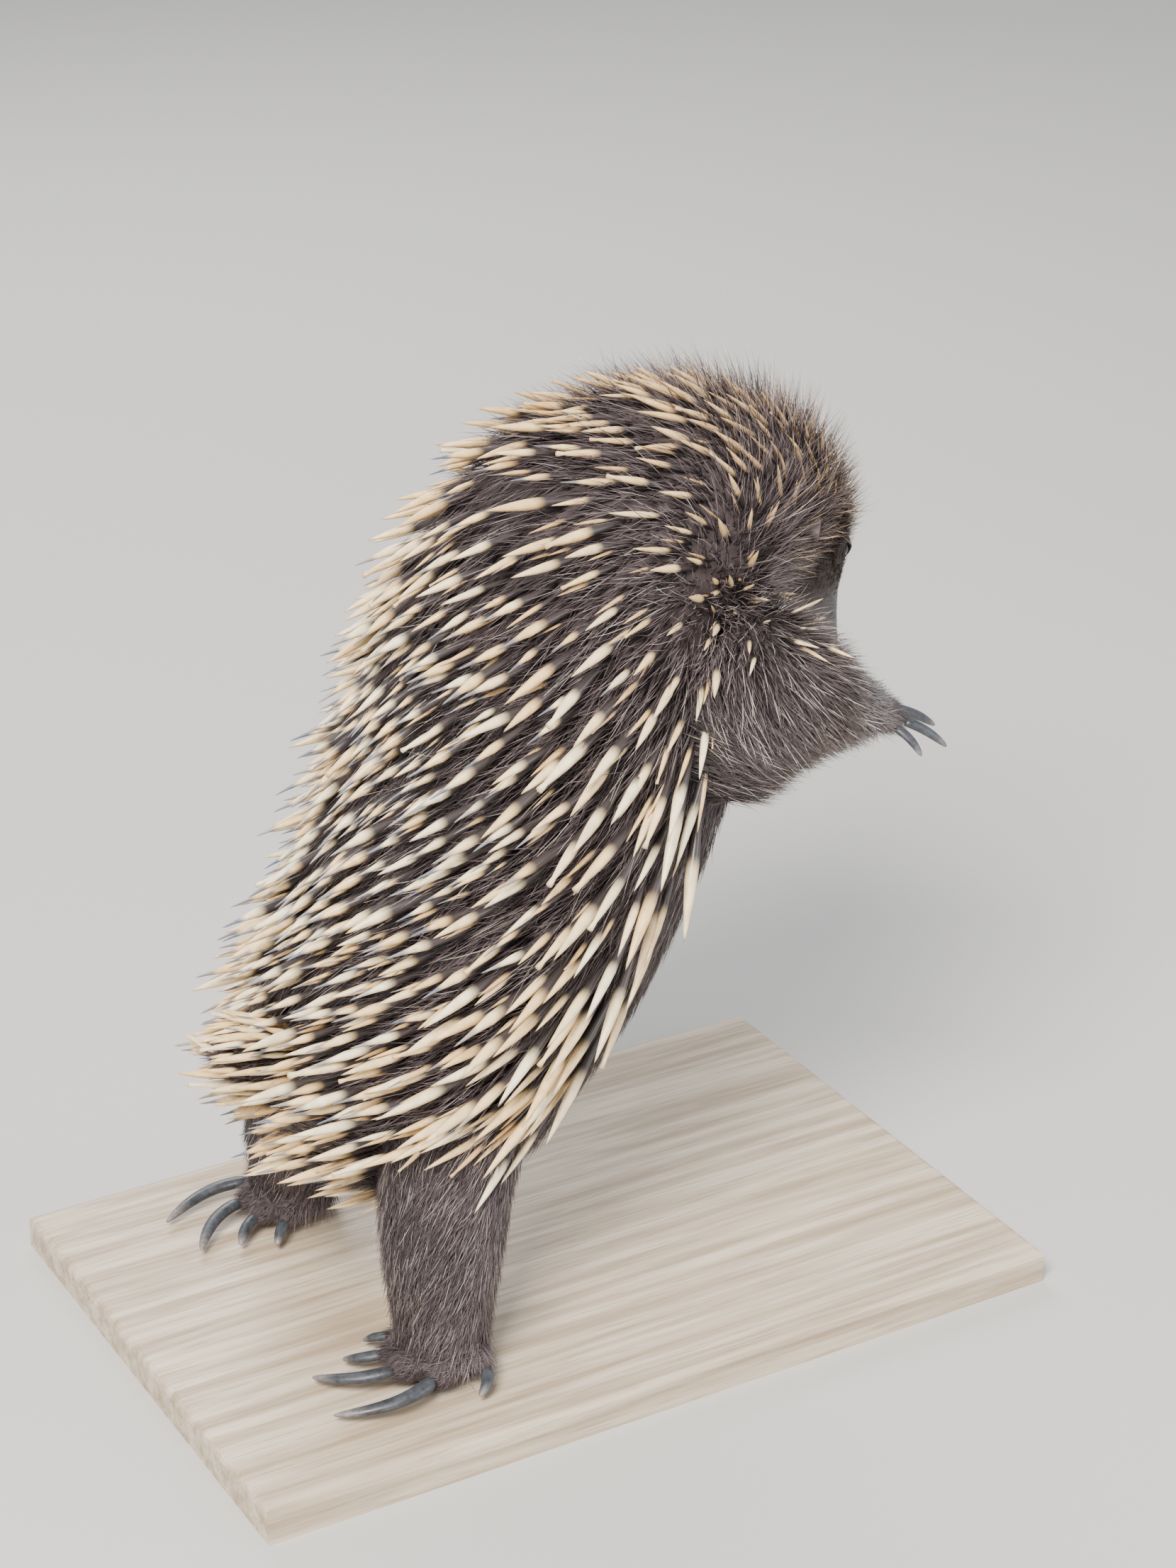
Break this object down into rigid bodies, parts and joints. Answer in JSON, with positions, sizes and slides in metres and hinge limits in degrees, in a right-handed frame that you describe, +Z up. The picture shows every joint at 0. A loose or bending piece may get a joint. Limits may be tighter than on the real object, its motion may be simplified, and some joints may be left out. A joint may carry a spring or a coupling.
{
  "type": "short-beaked echidna",
  "caption": "Life-size still model of a short-beaked echidna reared up on its hind legs on a flat display base, with a coat of pale spines over dark fur.",
  "frame": {"origin": "centre of the underside of the display base", "axes": "+Z up, +X the way the animal faces, +Y its left; the animal leans forward in the XZ plane with its hind feet behind the origin"},
  "size_m": [0.3, 0.2, 0.3261],
  "materials": {
    "spiny_coat": "cream horn spines with dark tips over dark brown fur, satin",
    "fur": "short dark brown fur, matte",
    "beak_skin": "smooth dark grey skin, satin",
    "claw_horn": "dark slate horn, semi-gloss",
    "eye": "black, wet gloss",
    "ear_skin": "bare grey-brown skin, matte",
    "stand_board": "pale oiled board, satin"
  },
  "bodies": {
    "root": {"stand_base": "stand_board", "torso": "spiny_coat", "neck": "spiny_coat", "head": "fur", "beak": "beak_skin", "tail": "spiny_coat", "foreleg_left": "fur", "hindleg_left": "fur", "eye_left": "eye", "ear_left": "ear_skin", "claw_fore_left_1": "claw_horn", "claw_hind_left_1": "claw_horn", "claw_fore_left_2": "claw_horn", "claw_hind_left_2": "claw_horn", "claw_fore_left_3": "claw_horn", "claw_hind_left_3": "claw_horn", "claw_fore_left_4": "claw_horn", "claw_hind_left_4": "claw_horn", "claw_fore_left_5": "claw_horn", "claw_hind_left_5": "claw_horn", "foreleg_right": "fur", "hindleg_right": "fur", "eye_right": "eye", "ear_right": "ear_skin", "claw_fore_right_1": "claw_horn", "claw_hind_right_1": "claw_horn", "claw_fore_right_2": "claw_horn", "claw_hind_right_2": "claw_horn", "claw_fore_right_3": "claw_horn", "claw_hind_right_3": "claw_horn", "claw_fore_right_4": "claw_horn", "claw_hind_right_4": "claw_horn", "claw_fore_right_5": "claw_horn", "claw_hind_right_5": "claw_horn"}
  },
  "joints": []
}
